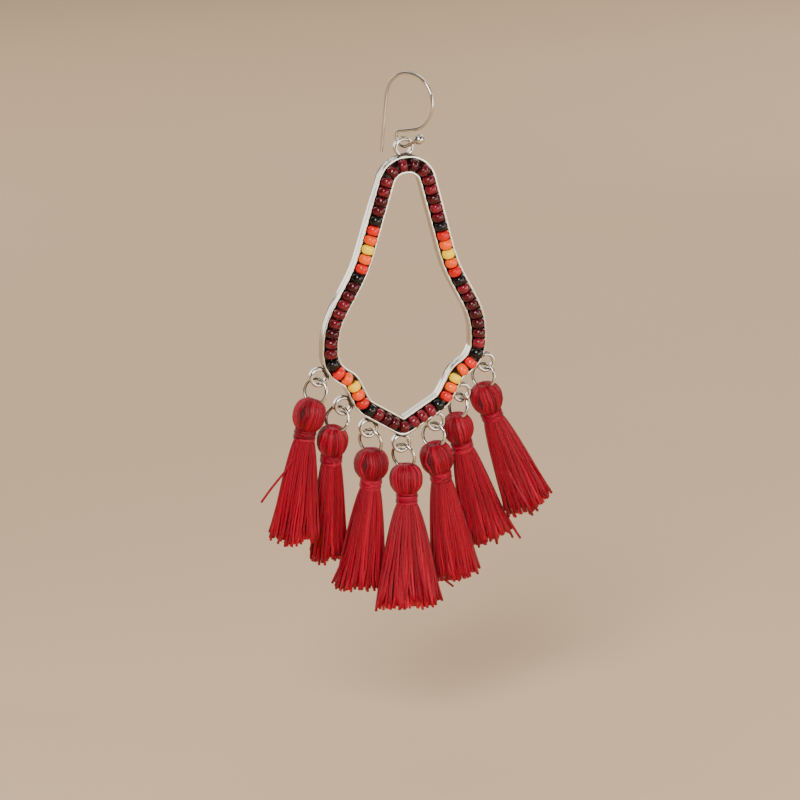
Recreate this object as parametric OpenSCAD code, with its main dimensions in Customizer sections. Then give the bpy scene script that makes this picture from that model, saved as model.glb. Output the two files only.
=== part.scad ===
// Tassel earring: an ear wire carries an open beaded frame with seven tassels on jump rings.
// Millimetres, +Z up, the beaded face looks along -Y, and the origin is the top of the ear wire.

/* [Ear hook] */
// Thickness of the ear wire
hook_wire_d = 0.65; // [0.6:0.05:0.75]
// Radius of the arc that goes round the ear lobe, to the middle of the wire
hook_arc_r = 5.4; // [5:0.1:7]
// Angle from the front that the ear wire faces
hook_turn = 32; // [10:1:36]
// Straight run back under the arc
hook_shelf = 3.6; // [3.2:0.1:4.2]
// Radius of the small bend at the back of that run
hook_bend_r = 0.7; // [0.5:0.05:0.9]
// Straight leg below the small bend
hook_leg = 0.4; // [0.2:0.1:2]
// Radius of the foot that the frame hangs on
hook_foot_r = 1.7; // [1.5:0.05:2.2]
// Straight run from the foot up to the ball
hook_toe = 3.4; // [2.8:0.1:4.5]
// Diameter of the ball on the end
hook_ball_d = 2.0; // [1.6:0.1:2.4]
// Straight tail behind the lobe
hook_tail = 11; // [8:0.5:16]
// Outward lean of the tail
hook_flare = 6; // [0:1:10]

/* [Frame] */
// Width over the outer walls
frame_w = 33.5; // [31:0.1:38]
// Height from the top of the frame to the point at the bottom
frame_h = 55.6; // [51:0.2:62]
// Depth from front rim to back
frame_depth = 2.3; // [2:0.1:3]
// Thickness of the two upright walls of the channel
wall_t = 0.3; // [0.25:0.05:0.5]
// Thickness of the channel's floor
floor_t = 1.2; // [0.8:0.1:1.6]
// Corner radius of the outer edge at the bottom point
point_r = 0.4; // [0.2:0.1:1]

/* [Cast loops] */
// Outer diameter of the top loop
top_loop_od = 3.9; // [3.7:0.1:4.4]
// Hole in the top loop
top_loop_id = 2.7; // [2.6:0.05:2.8]
// Depth of the top loop
top_loop_depth = 1.6; // [1.3:0.1:1.7]
// Outer diameter of the seven lower loops
loop_od = 3.9; // [3.8:0.1:4.6]
// Hole in a lower loop
loop_id = 2.5; // [2.4:0.05:2.6]
// Depth of a lower loop
loop_depth = 1.5; // [1.3:0.1:1.6]
// How far a loop is sunk into the frame's outer wall
loop_sink = 0.3; // [0.2:0.05:0.4]
// How far the frame's point is sunk into the loop under it
point_sink = 0.6; // [0.45:0.05:0.7]

/* [Beads] */
// Diameter of a bead
bead_d = 2.5; // [2.3:0.05:2.7]
// Length of a bead along the thread
bead_len = 1.79; // [1.5:0.01:1.9]
// Hole through a bead
bead_hole = 1.0; // [0.9:0.05:1.1]
// Clear space between neighbouring beads
bead_gap = 0.1; // [0.1:0.02:0.2]
// Clear space between a bead and the channel
bead_clear = 0.1; // [0.1:0.02:0.2]
// Thread through the beads
thread_d = 0.45; // [0.3:0.05:0.5]

/* [Jump rings] */
// Outer diameter of a jump ring
ring_od = 5.6; // [5.2:0.1:6.2]
// Thickness of its wire
ring_wire_d = 0.65; // [0.5:0.05:0.7]

/* [Tassels] */
// Length from the ring's wire to the cut ends
tassel_l = 27.3; // [24:0.1:32]
// Diameter of the folded head
head_d = 6.2; // [5.8:0.1:6.6]
// Height of the head
head_h = 5.6; // [5.2:0.1:6.4]
// Height of the head's top above the middle of the ring's wire
head_over = 0.85; // [0.8:0.05:1.2]
// Diameter of the bound neck, under the binding
neck_d = 3.3; // [3.1:0.1:3.8]
// Width of the skirt at the cut ends
skirt_w = 9.4; // [8.4:0.1:10.2]
// Thickness of the skirt, front to back
skirt_t = 5.8; // [5.4:0.1:6.4]
// Locks round the skirt
locks = 11; // [8:1:14]
// Height of the binding round the neck
binding_h = 2.3; // [1.7:0.1:2.8]
// Thickness of the binding's thread
binding_thread = 0.42; // [0.36:0.02:0.6]

/* [Hidden] */

// Clear space between a lower loop and the jump ring in it, at the middle of the loop's depth
ring_clear = 0.55;
// The same between the top loop and the foot of the ear wire, which curves up on both sides
foot_clear = 0.9;
// The top loop stands a little to the left of the frame's middle
top_loop_off = 0.5;
// The frame hangs with its point a little further back than its top, in degrees
hang_back = 2.2;
// Clear space between a tassel and the binding on it, and between a tassel and its ring's wire
thread_clear = 0.12;
ring_bed = 0.17;
// How far the neck reaches up into the head
head_rest = 1.2;
// Largest turn of one straight piece of a rounded outline, in degrees
arc_step = 8;

// Straight lengths of the ear wire end inside the bent ones, and are a hair thinner
wire_lap = 0.05;
straight_less = 0.02;
// Straight run at the very top of the ear wire
hook_crown = 0.3;

// Ear wire: each step is a straight run, then a bend of a radius and a turn to the left
RUN = 0;
BEND = 1;
TURN = 2;
shelf_fall = 10;
leg_lean = 4;
toe_rise = 27;
front_steps = [[hook_crown, hook_arc_r, shelf_fall - 180],
               [hook_shelf, hook_bend_r, 90 - leg_lean - shelf_fall],
               [hook_leg, hook_foot_r, 90 + leg_lean + toe_rise],
               [hook_toe, 0, 0]];
LEG = 2;
tail_steps = [[0, hook_arc_r, -90 + hook_flare],
              [hook_tail, 0, 0]];

// Where the wire is after some of the steps, and its heading: [along, up, heading]
function left_of(heading) = [-sin(heading), cos(heading)];
function walked(steps, count, i = 0, p = [-hook_crown / 2, 0], heading = 0) =
    i == count ? [p[0], p[1], heading]
               : let (step = steps[i],
                      next = heading + step[TURN],
                      straight = step[RUN] * [cos(heading), sin(heading)],
                      bent = sign(step[TURN]) * step[BEND] * (left_of(heading) - left_of(next)))
                 walked(steps, count, i + 1, p + straight + bent, next);
leg_top = walked(front_steps, LEG);
foot_mid = [leg_top[0], leg_top[1]] + hook_leg * [cos(leg_top[2]), sin(leg_top[2])]
           + hook_foot_r * left_of(leg_top[2]);
foot_s = foot_mid[0];
foot_z = foot_mid[1] - hook_foot_r;

// The frame hangs with its top loop on the foot
foot_x = foot_s * sin(hook_turn);
foot_y = -foot_s * cos(hook_turn);
top_loop_up = top_loop_od / 2 - loop_sink;
frame_down = hook_wire_d / 2 + foot_clear - top_loop_id / 2 - top_loop_up;

// Channel
channel_w = bead_d + 2 * bead_clear;
band_w = channel_w + 2 * wall_t;
half_w = (frame_w - band_w) / 2;
point_slope = 31;
path_h = frame_h - band_w / 2 - band_w / 2 / cos(point_slope);
bead_y = frame_depth / 2 - floor_t - bead_clear - bead_d / 2;

// Half of the channel's middle line, from the top down to the point.
// Columns: across and down as shares of half_w and path_h, and how much of the shorter side next to it
// the rounding of the corner takes
ACROSS = 0;
DOWN = 1;
ROUND = 2;
HALF_OUTLINE = [[0.22, 0, 0.464],
                [0.6, 0.387, 0.228],
                [1, 0.597, 0.46],
                [1, 0.75, 0.582],
                [0.72, 0.803, 0.158],
                [0.54, 0.905, 0.215],
                [0, 1, 0.125]];
POINT = len(HALF_OUTLINE) - 1;

// The whole line as corners, going down the left side and up the right side
function corner_at(side, c) = [side * c[ACROSS] * half_w, -band_w / 2 - c[DOWN] * path_h, c[ROUND]];
outline_corners = concat([for (c = HALF_OUTLINE) corner_at(-1, c)],
                         [for (i = [POINT - 1 : -1 : 0]) corner_at(1, HALF_OUTLINE[i])]);

function unit(v) = v / norm(v);
function side_of(v) = [v[1], -v[0]];
function flat(p) = [p[0], p[1]];
function edge(c, i) = flat(c[(i + 1) % len(c)]) - flat(c[i % len(c)]);
function edge_dir(c, i) = unit(edge(c, i));
function turn_of(a, b) = atan2(a[0] * b[1] - a[1] * b[0], a * b);

// Corner i of an outline moved outwards by d
function moved_corner(c, i, d) =
    let (a = side_of(edge_dir(c, (i + len(c) - 1) % len(c))),
         b = side_of(edge_dir(c, i)))
    flat(c[i]) + (a + b) * d / (1 + a * b);

// Points of the round stretch at a corner
function corner_arc(p, in_dir, out_dir, r) =
    let (turn = turn_of(in_dir, out_dir),
         way = sign(turn),
         reach = r * tan(abs(turn) / 2),
         middle = p - in_dir * reach - way * r * side_of(in_dir),
         steps = max(2, ceil(abs(turn) / arc_step)),
         start = atan2(in_dir[1], in_dir[0]) - way * 90)
    [for (k = [0 : steps]) middle + r * [cos(start + turn * k / steps), sin(start + turn * k / steps)]];

// The outline moved outwards by d, with its corners rounded about the same centres
function outline(d, own_point_r = undef) =
    let (c = outline_corners, n = len(c))
    [for (i = [0 : n - 1])
        let (in_dir = edge_dir(c, i + n - 1),
             out_dir = edge_dir(c, i),
             turn = turn_of(in_dir, out_dir),
             shorter = min(norm(edge(c, i + n - 1)), norm(edge(c, i))),
             line_r = c[i][ROUND] * shorter / tan(abs(turn) / 2),
             r = i == POINT && own_point_r != undef ? own_point_r : line_r + sign(turn) * d)
        each corner_arc(moved_corner(c, i, d), in_dir, out_dir, r)];

// Running length along the middle line, starting at the middle of the top
middle_line = let (p = outline(0)) concat([(p[0] + p[len(p) - 1]) / 2], p, [(p[0] + p[len(p) - 1]) / 2]);
function running(p, take, i = 0, sum = 0, out = []) =
    i == len(p) - 1 ? concat(out, [sum])
                    : running(p, take, i + 1, sum + take[i], concat(out, [sum]));
function turn_at(p, i) =
    abs(turn_of(unit(p[i] - p[i - 1]), unit(p[i + 1] - p[i])));
line_len = [for (i = [0 : len(middle_line) - 2]) norm(middle_line[i + 1] - middle_line[i])];
line_sum = running(middle_line, line_len);
line_total = line_sum[len(line_sum) - 1];

// Place on a line at a running length: [across, up, direction]
function place(p, sums, s) =
    let (i = max([for (k = [0 : len(p) - 2]) if (sums[k] <= s) k]),
         part = (s - sums[i]) / (sums[i + 1] - sums[i]),
         at = p[i] + (p[i + 1] - p[i]) * part,
         d = p[i + 1] - p[i])
    [at[0], at[1], atan2(d[1], d[0])];

// Beads keep clear of each other on the inside of a bend, so they stand wider apart there.
// bead_sum is the running length less what each bend takes away at a bead's shoulder.
shoulder = 0.28 * bead_d;
last_piece = len(middle_line) - 2;
bend_share = [for (i = [0 : last_piece])
    let (before = i > 0 ? turn_at(middle_line, i) : 0,
         after = i < last_piece ? turn_at(middle_line, i + 1) : 0)
    (before + after) / 2];
least_take = 0.01;
bead_take = [for (i = [0 : last_piece])
    max(least_take, line_len[i] - shoulder * bend_share[i] * PI / 180)];
bead_sum = running(middle_line, bead_take);
bead_total = bead_sum[len(bead_sum) - 1];
bead_count = floor(bead_total / (bead_len + bead_gap));
bead_step = bead_total / bead_count;

// Four groups of seven beads, each black, red, orange, yellow, orange, red, black, as shares of the round
GROUP_AT = [0.15, 0.388, 0.61, 0.832];
GROUP = ["yellow", "orange", "red", "black"];
function bead_colour(i) =
    let (off = [for (g = GROUP_AT) abs(i - round(g * bead_count - 0.5))], near = min(off))
    near < len(GROUP) ? GROUP[near] : "garnet";

// Lower loops: places as shares of the line from the top to the point, down the left side and up the right
LEFT_LOOPS = [0.691, 0.822, 0.908];
RIGHT_LOOPS = [0.903, 0.81, 0.685];
loop_y = frame_depth / 2 - loop_depth / 2;
loop_out = band_w / 2 + loop_od / 2 - loop_sink;
function loop_place(s) =
    let (p = place(middle_line, line_sum, s * line_total / 2))
    [p[0] + loop_out * sin(p[2]), p[1] - loop_out * cos(p[2])];
point_loop = [0, -frame_h + point_sink - loop_od / 2];
lower_loops = concat([for (s = LEFT_LOOPS) loop_place(s)], [point_loop],
                     [for (s = RIGHT_LOOPS) let (p = loop_place(s)) [-p[0], p[1]]]);

// Jump rings and tassels, from left to right.
// Columns: the ring's lean to the right and its turn from the front; the head's lean to the right and the
// skirt's; the swing to the back; the width of the head and of the skirt as shares of head_d and skirt_w
RING_LEAN = 0;
RING_TURN = 1;
HEAD_LEAN = 2;
LEAN = 3;
SWING = 4;
BULK = 5;
SPREAD = 6;
HANG = [[-13, 38, -17, -6, 2, 1, 1],
        [-24, 38, 2, 2, 12, 0.92, 0.77],
        [10, 38, -1, -5, 4, 1.04, 1.05],
        [11, 38, 1, -1, -5, 1.02, 1.4],
        [-7, 38, 21, 10, 4, 0.95, 1],
        [-12, 22, 16, 18, 8, 0.93, 1],
        [-7, 38, 22, 24, 4, 0.92, 1]];
ring_mean_r = (ring_od - ring_wire_d) / 2;
// The ring's wire passes low through the loop's hole
ring_low = loop_id / 2 - ring_wire_d / 2 - ring_clear;

// Head outline from the top down: share of the height and share of the diameter
HEAD = [[0, 0.28], [0.05, 0.55], [0.15, 0.80], [0.32, 0.96], [0.5, 1], [0.7, 0.97], [0.87, 0.85], [1, 0.63]];
head_folds = 9;
fold_rise = 0.03;
head_sides = 30;
head_low = head_h - head_over;
// The groove for the ring's wire has flat sides, turned so that its edges keep off the head's
groove_sides = 28;
groove_turn = 3;

module wire_steps(steps, d, i = 0) {
    if (i < len(steps)) {
        run = steps[i][RUN];
        r = steps[i][BEND];
        turn = steps[i][TURN];
        way = turn < 0 ? -1 : 1;
        if (run > 0)
            translate([-wire_lap, 0, 0])
                rotate([0, 90, 0]) cylinder(d = d - straight_less, h = run + 2 * wire_lap, $fn = 32);
        translate([run, 0, 0]) {
            if (turn != 0)
                translate([0, way * r, 0])
                    rotate([0, 0, way > 0 ? -90 : 90 + turn])
                        rotate_extrude(angle = abs(turn), $fn = 64)
                            translate([r, 0]) circle(d = d, $fn = 32);
            translate([r * sin(abs(turn)), way * r * (1 - cos(turn)), 0])
                rotate([0, 0, turn])
                    wire_steps(steps, d, i + 1);
        }
    }
}

module ear_hook() {
    toe = walked(front_steps, len(front_steps));
    color("silver")
        rotate([0, 0, hook_turn - 90])
            rotate([90, 0, 0]) {
                translate([-hook_crown / 2, 0, 0]) {
                    wire_steps(front_steps, hook_wire_d);
                    mirror([1, 0, 0]) wire_steps(tail_steps, hook_wire_d);
                }
                translate([toe[0], toe[1], 0]) sphere(d = hook_ball_d, $fn = 48);
            }
}

// Places what is drawn flat, with Y up and Z to the front, on the hanging frame
module on_frame() {
    translate([foot_x, foot_y, foot_z])
        rotate([hang_back, 0, 0])
            translate([top_loop_off, 0, frame_down])
                children();
}

module cast_loop(od, id, depth) {
    radial = (od - id) / 2;
    rotate([90, 0, 0])
        rotate_extrude($fn = 64)
            translate([(od + id) / 4, 0]) {
                square([radial, depth - radial], center = true);
                for (s = [-1, 1]) translate([0, s * (depth - radial) / 2]) circle(d = radial, $fn = 32);
            }
}

module frame() {
    wall_rise = frame_depth - floor_t;
    past = 1;
    color("silver")
        on_frame()
            difference() {
                union() {
                    translate([0, frame_depth / 2, 0])
                        rotate([90, 0, 0])
                            linear_extrude(frame_depth)
                                difference() {
                                    polygon(outline(band_w / 2, point_r));
                                    polygon(outline(-band_w / 2));
                                }
                    translate([-top_loop_off, 0, top_loop_up])
                        cast_loop(top_loop_od, top_loop_id, top_loop_depth);
                    for (p = lower_loops)
                        translate([p[0], loop_y, p[1]]) cast_loop(loop_od, loop_id, loop_depth);
                }
                translate([0, -frame_depth / 2 + wall_rise, 0])
                    rotate([90, 0, 0])
                        linear_extrude(wall_rise + past)
                            difference() {
                                polygon(outline(channel_w / 2));
                                polygon(outline(-channel_w / 2));
                            }
            }
}

module bead() {
    shoulder_r = bead_len / 2;
    rotate([0, 90, 0])
        rotate_extrude($fn = 48)
            difference() {
                translate([bead_d / 2 - shoulder_r, 0]) circle(r = shoulder_r, $fn = 48);
                translate([bead_hole / 2 - bead_d, -bead_d]) square([bead_d, 2 * bead_d]);
            }
}

module beads(colour) {
    on_frame()
        for (i = [0 : bead_count - 1])
            if (bead_colour(i) == colour) {
                p = place(middle_line, bead_sum, (i + 0.5) * bead_step);
                translate([p[0], bead_y, p[1]]) rotate([0, -p[2], 0]) bead();
            }
}

module beads_garnet() { color([0.42, 0.05, 0.09]) beads("garnet"); }
module beads_black() { color([0.06, 0.06, 0.07]) beads("black"); }
module beads_red() { color([0.9, 0.1, 0.06]) beads("red"); }
module beads_orange() { color([1, 0.4, 0.03]) beads("orange"); }
module beads_yellow() { color([1, 0.85, 0.15]) beads("yellow"); }

// One closed skin over rings of points, each ring with the same number of points
module loft(rings, closed = false) {
    n = len(rings[0]);
    last = len(rings) - 1;
    sides = [for (r = [0 : closed ? last : last - 1], i = [0 : n - 1])
        let (a = r * n, b = ((r + 1) % len(rings)) * n, j = (i + 1) % n)
        each [[a + i, a + j, b + j], [a + i, b + j, b + i]]];
    caps = closed ? [] : [[for (i = [n - 1 : -1 : 0]) i], [for (i = [0 : n - 1]) last * n + i]];
    polyhedron(points = [for (r = rings) each r], faces = concat(sides, caps), convexity = 4);
}

module bead_thread() {
    thread_sides = 6;
    n = len(middle_line) - 1;
    rings = [for (i = [0 : n - 1])
        let (before = middle_line[(i + n - 1) % n],
             after = middle_line[i + 1],
             out = side_of(unit(after - before)))
        [for (k = [0 : thread_sides - 1])
            let (a = 360 * k / thread_sides, across = middle_line[i] + out * cos(a) * thread_d / 2)
            [across[0], bead_y - sin(a) * thread_d / 2, across[1]]]];
    color([0.15, 0.12, 0.12]) on_frame() loft(rings, closed = true);
}

// Moves from a lower loop's hole to the centre of its jump ring
module at_ring(i) {
    on_frame()
        translate([lower_loops[i][0], loop_y, lower_loops[i][1]])
            rotate([0, -HANG[i][RING_LEAN], 0])
                translate([0, 0, -ring_low - ring_mean_r])
                    rotate([0, 0, HANG[i][RING_TURN] - 90])
                        children();
}

module jump_ring(i) {
    color("silver")
        at_ring(i)
            rotate([90, 0, 0])
                rotate_extrude($fn = 72)
                    translate([ring_mean_r, 0]) circle(d = ring_wire_d, $fn = 32);
}

// Moves from a lower loop's hole to the lowest point of its jump ring's wire, along the tassel's head
module at_head(i) {
    on_frame()
        translate([lower_loops[i][0], loop_y, lower_loops[i][1]])
            rotate([0, -HANG[i][RING_LEAN], 0])
                translate([0, 0, -ring_low - 2 * ring_mean_r])
                    rotate([0, HANG[i][RING_LEAN] - HANG[i][HEAD_LEAN], 0])
                        rotate([HANG[i][SWING] - hang_back, 0, 0])
                            children();
}

// A head that leans more than its skirt dips on one side, so the neck stands lower by as much
head_foot = HEAD[len(HEAD) - 1][1] * head_d / 2;
function dip(i) = head_foot * HANG[i][BULK] * sin(abs(HANG[i][HEAD_LEAN] - HANG[i][LEAN]));

// Moves to the top of the neck, along the skirt
module at_neck(i) {
    at_head(i)
        translate([0, 0, -head_low])
            rotate([0, HANG[i][HEAD_LEAN] - HANG[i][LEAN], 0])
                translate([0, 0, -dip(i)])
                    children();
}

// A steady uneven share between -1 and 1, for locks that aren't all alike
function uneven(a, b) = sin(a * 137.5 + b * 71);

module head_form(bulk) {
    rings = [for (s = HEAD)
        [for (k = [0 : head_sides - 1])
            let (a = 360 * k / head_sides,
                 fold = 1 + fold_rise * cos(head_folds * a),
                 r = s[1] * bulk * fold * head_d / 2)
            [r * cos(a), r * sin(a), head_over - s[0] * head_h]]];
    loft(rings);
}

// One lock of the skirt, from under the binding to the cut ends.
// Columns: share of the length, place from the middle and thickness as shares of the skirt there
LOCK = [[0, 0.60, 0.30], [0.45, 0.66, 0.29], [1, 0.74, 0.26]];
lock_sides = 7;
lock_flare = 0.8;
lock_slice = 0.2;
// Mean length of a lock as a share of the skirt's, how much it varies, and how uneven the spacing is
lock_mean = 0.965;
lock_vary = 0.035;
lock_stray = 0.25;
module lock(a, spread, length, thick, out = 1) {
    neck_r = neck_d / 2;
    for (k = [0 : len(LOCK) - 2])
        hull()
            for (s = [LOCK[k], LOCK[k + 1]]) {
                wide = neck_r + (spread * skirt_w / 2 - neck_r) * pow(s[0], lock_flare);
                deep = neck_r + (skirt_t / 2 - neck_r) * pow(s[0], lock_flare);
                translate([out * wide * s[1] * cos(a), out * deep * s[1] * sin(a), -s[0] * length])
                    scale([wide, deep, 1]) cylinder(r = s[2] * thick, h = lock_slice, $fn = lock_sides);
            }
}

module tassel(i) {
    skirt_l = tassel_l - head_low - dip(i) - binding_h;
    core_spread = 0.4;
    core_thick = 2;
    core_length = 0.95;
    color([0.66, 0.05, 0.13])
        difference() {
            union() {
                at_head(i) head_form(HANG[i][BULK]);
                at_neck(i) {
                    translate([0, 0, -binding_h])
                        cylinder(d = neck_d, h = binding_h + head_rest + dip(i), $fn = 24);
                    translate([0, 0, -binding_h])
                        for (k = [0 : locks - 1])
                            lock(360 * (k + lock_stray * uneven(k, i)) / locks, HANG[i][SPREAD],
                                 skirt_l * (lock_mean + lock_vary * uneven(k + 3, i + 2)), 1);
                    translate([0, 0, -binding_h]) lock(0, core_spread, skirt_l * core_length, core_thick, 0);
                }
            }
            at_ring(i)
                rotate([90, groove_turn, 0])
                    rotate_extrude($fn = groove_sides)
                        translate([ring_mean_r, 0]) circle(d = ring_wire_d + 2 * ring_bed, $fn = 8);
        }
}

module binding(i) {
    turns = round(binding_h / binding_thread);
    height = binding_h - 2 * thread_clear;
    step = (height - binding_thread) / (turns - 1);
    inner = neck_d / 2 + thread_clear;
    color([0.72, 0.08, 0.16])
        at_neck(i)
            translate([0, 0, -binding_h + thread_clear])
                rotate_extrude($fn = 48) {
                    for (k = [0 : turns - 1])
                        translate([inner + binding_thread / 2, binding_thread / 2 + k * step])
                            circle(d = binding_thread, $fn = 24);
                    translate([inner + binding_thread / 4, binding_thread / 2])
                        square([binding_thread / 2, height - binding_thread]);
                }
}

module jump_ring_1() { jump_ring(0); }
module jump_ring_2() { jump_ring(1); }
module jump_ring_3() { jump_ring(2); }
module jump_ring_4() { jump_ring(3); }
module jump_ring_5() { jump_ring(4); }
module jump_ring_6() { jump_ring(5); }
module jump_ring_7() { jump_ring(6); }
module tassel_1() { tassel(0); }
module tassel_2() { tassel(1); }
module tassel_3() { tassel(2); }
module tassel_4() { tassel(3); }
module tassel_5() { tassel(4); }
module tassel_6() { tassel(5); }
module tassel_7() { tassel(6); }
module binding_1() { binding(0); }
module binding_2() { binding(1); }
module binding_3() { binding(2); }
module binding_4() { binding(3); }
module binding_5() { binding(4); }
module binding_6() { binding(5); }
module binding_7() { binding(6); }

ear_hook();
frame();
bead_thread();
beads_garnet();
beads_black();
beads_red();
beads_orange();
beads_yellow();
jump_ring_1();
jump_ring_2();
jump_ring_3();
jump_ring_4();
jump_ring_5();
jump_ring_6();
jump_ring_7();
tassel_1();
tassel_2();
tassel_3();
tassel_4();
tassel_5();
tassel_6();
tassel_7();
binding_1();
binding_2();
binding_3();
binding_4();
binding_5();
binding_6();
binding_7();
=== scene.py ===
import math
import random

import bmesh
import bpy
import numpy as np
from mathutils import Matrix, Vector
from mathutils.bvhtree import BVHTree


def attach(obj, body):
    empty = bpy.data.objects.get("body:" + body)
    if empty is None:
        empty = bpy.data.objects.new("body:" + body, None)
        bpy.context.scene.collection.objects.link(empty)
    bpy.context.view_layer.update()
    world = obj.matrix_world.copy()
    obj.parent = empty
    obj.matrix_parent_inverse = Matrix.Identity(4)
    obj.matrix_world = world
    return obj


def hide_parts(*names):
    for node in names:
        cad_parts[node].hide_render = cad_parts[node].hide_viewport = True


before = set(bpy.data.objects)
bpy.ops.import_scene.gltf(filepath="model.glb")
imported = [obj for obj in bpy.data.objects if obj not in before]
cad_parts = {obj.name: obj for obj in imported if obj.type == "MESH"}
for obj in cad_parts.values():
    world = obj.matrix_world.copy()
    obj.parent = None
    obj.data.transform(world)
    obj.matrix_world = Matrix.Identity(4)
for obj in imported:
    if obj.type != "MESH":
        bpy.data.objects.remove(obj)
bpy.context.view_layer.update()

MM = 0.001
BODY = "drop"
TASSELS = 7
UP = Vector((0, 0, 1))
EAST = Vector((1, 0, 0))
FULL_TURN = 2 * math.pi
# Points of one mesh that lie closer than this are one point
SAME_POINT = 0.002 * MM


# Shader maths

class Value:
    """A shader socket that Python's operators work on."""

    def __init__(self, finish, socket):
        self.finish = finish
        self.socket = socket

    def maths(self, operation, first, second=0.0):
        return self.finish.node("ShaderNodeMath", {"operation": operation}, {0: first, 1: second})

    def __add__(self, other):
        return self.maths("ADD", self, other)

    __radd__ = __add__

    def __mul__(self, other):
        return self.maths("MULTIPLY", self, other)

    __rmul__ = __mul__

    def __sub__(self, other):
        return self.maths("SUBTRACT", self, other)

    def __rsub__(self, other):
        return self.maths("SUBTRACT", other, self)

    def over(self, other):
        """The larger of the two."""
        return self.maths("MAXIMUM", self, other)

    def sine(self):
        return self.maths("SINE", self)

    def between(self, low, high):
        """0 below low, 1 above high, and smooth between them."""
        return self.finish.node("ShaderNodeMapRange", {"interpolation_type": "SMOOTHSTEP"},
                                {"Value": self, "From Min": low, "From Max": high})


class Finish:
    """A material with one Principled shader, and what feeds it."""

    def __init__(self, name, **fixed):
        self.material = bpy.data.materials.new(name)
        self.material.use_nodes = True
        self.tree = self.material.node_tree
        self.tree.nodes.clear()
        self.shader = self.tree.nodes.new("ShaderNodeBsdfPrincipled")
        output = self.tree.nodes.new("ShaderNodeOutputMaterial")
        self.tree.links.new(self.shader.outputs[0], output.inputs["Surface"])
        self.feed(**fixed)

    def node(self, kind, settings=None, inputs=None, output=0):
        """A new node of this kind, and the value that comes out of it."""
        made = self.tree.nodes.new(kind)
        for key, value in (settings or {}).items():
            if key == "stops":
                ramp = made.color_ramp
                while len(ramp.elements) < len(value):
                    ramp.elements.new(0.5)
                for element, (place, colour) in zip(ramp.elements, value):
                    element.position = place
                    element.color = (*colour, 1)
            else:
                setattr(made, key, value)
        for key, value in (inputs or {}).items():
            if isinstance(value, Value):
                self.tree.links.new(value.socket, made.inputs[key])
            else:
                made.inputs[key].default_value = value
        return Value(self, made.outputs[output])

    def feed(self, **inputs):
        """Values for the shader's sockets, whose names are written with _ for a space."""
        for key, value in inputs.items():
            socket = self.shader.inputs[key.replace("_", " ")]
            if isinstance(value, Value):
                self.tree.links.new(value.socket, socket)
            else:
                socket.default_value = value

    def place(self):
        return self.node("ShaderNodeTexCoord", output=3)

    def uv(self, output):
        made = self.node("ShaderNodeUVMap", {"uv_map": "UVMap"})
        return self.node("ShaderNodeSeparateXYZ", inputs={0: made}, output=output)

    def attribute(self, name):
        return self.node("ShaderNodeAttribute", {"attribute_name": name}, output=2)

    def noise(self, size_mm, detail):
        return self.node("ShaderNodeTexNoise", None,
                         {"Vector": self.place(), "Scale": 1 / (size_mm * MM), "Detail": detail})

    def ramp(self, factor, *stops):
        return self.node("ShaderNodeValToRGB", {"stops": stops}, {0: factor})

    def mix(self, factor, first, second):
        rgba = [c if isinstance(c, Value) else (*c, 1) for c in (first, second)]
        return self.node("ShaderNodeMix", {"data_type": "RGBA"}, {0: factor, 6: rgba[0], 7: rgba[1]}, 2)

    def bump(self, height, depth_mm, strength):
        self.feed(Normal=self.node("ShaderNodeBump", None, {"Height": height, "Distance": depth_mm * MM,
                                                            "Strength": strength}))


# Finishes

BRIGHT_SILVER = (0.66, 0.63, 0.57)
WORN_SILVER = (0.40, 0.365, 0.315)
PATINA = (0.075, 0.058, 0.048)
# The share that a strand's own shade has in the colour of a skirt's or a binding's thread
OWN_SHADE = 0.75


def silver_wire():
    """Polished wire, with a little tarnish in clouds, and darker on the inner side of a ring: patina, and
    painted shade.
    """
    f = Finish("silver_wire", Metallic=1.0)
    cloud = f.noise(2.4, detail=3.0)
    speck = f.noise(0.45, detail=2.0)
    tarnish = cloud.between(0.42, 0.7) * 0.6 + speck.between(0.6, 0.75) * 0.3
    # Darker on a ring's inner side, as patina and painted shade, and at its join, a dark joint
    dark = f.attribute("recess").between(0.1, 0.9) * 0.92
    f.feed(Base_Color=f.mix(dark, f.mix(tarnish, BRIGHT_SILVER, WORN_SILVER), PATINA))
    f.feed(Roughness=0.13 + tarnish * 0.2 + dark * 0.2)
    f.bump(speck, depth_mm=0.02, strength=0.35)
    return f.material


def silver_cast():
    """Antiqued cast metal: bright where it is rubbed, dark with patina in the channel and round the loops'
    feet, with a fine line of painted shade along its walls, and a little dark at its back."""
    f = Finish("silver_cast", Metallic=1.0)
    back = f.attribute("back")
    # A fine line of painted shade along the frame's walls, at this share of its depth
    painted_shade_line = back.between(0.42, 0.48) * (1 - back.between(0.50, 0.56))
    rear = back.between(0.88, 1.0) * 0.3
    dark = f.attribute("recess").between(0.05, 0.5).over(painted_shade_line).over(rear)
    cloud = f.noise(3.0, detail=3.0)
    pits = f.noise(0.35, detail=2.0)
    worn = cloud.between(0.48, 0.75) * 0.3 + pits.between(0.62, 0.8) * 0.35
    f.feed(Base_Color=f.mix(dark, f.mix(worn, BRIGHT_SILVER, WORN_SILVER), PATINA))
    f.feed(Roughness=0.17 + worn * 0.2 + dark * 0.28)
    f.bump(pits + cloud * 0.8, depth_mm=0.05, strength=0.3)
    return f.material


def glass(name, deep, body, lit, roughness, uneven):
    """Opaque glass, with a lighter streak here and there and a slightly uneven surface."""
    f = Finish(name, Roughness=roughness, Coat_Weight=0.25, Coat_Roughness=0.04, Specular_IOR_Level=0.25)
    own = f.attribute("shade")
    cloud = f.noise(1.1, detail=2.0)
    f.feed(Base_Color=f.ramp(cloud * 0.6 + own * 0.4, (0.25, deep), (0.5, body), (0.78, lit)))
    f.bump(f.noise(0.8, detail=1.0), depth_mm=0.12, strength=uneven)
    return f.material


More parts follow.
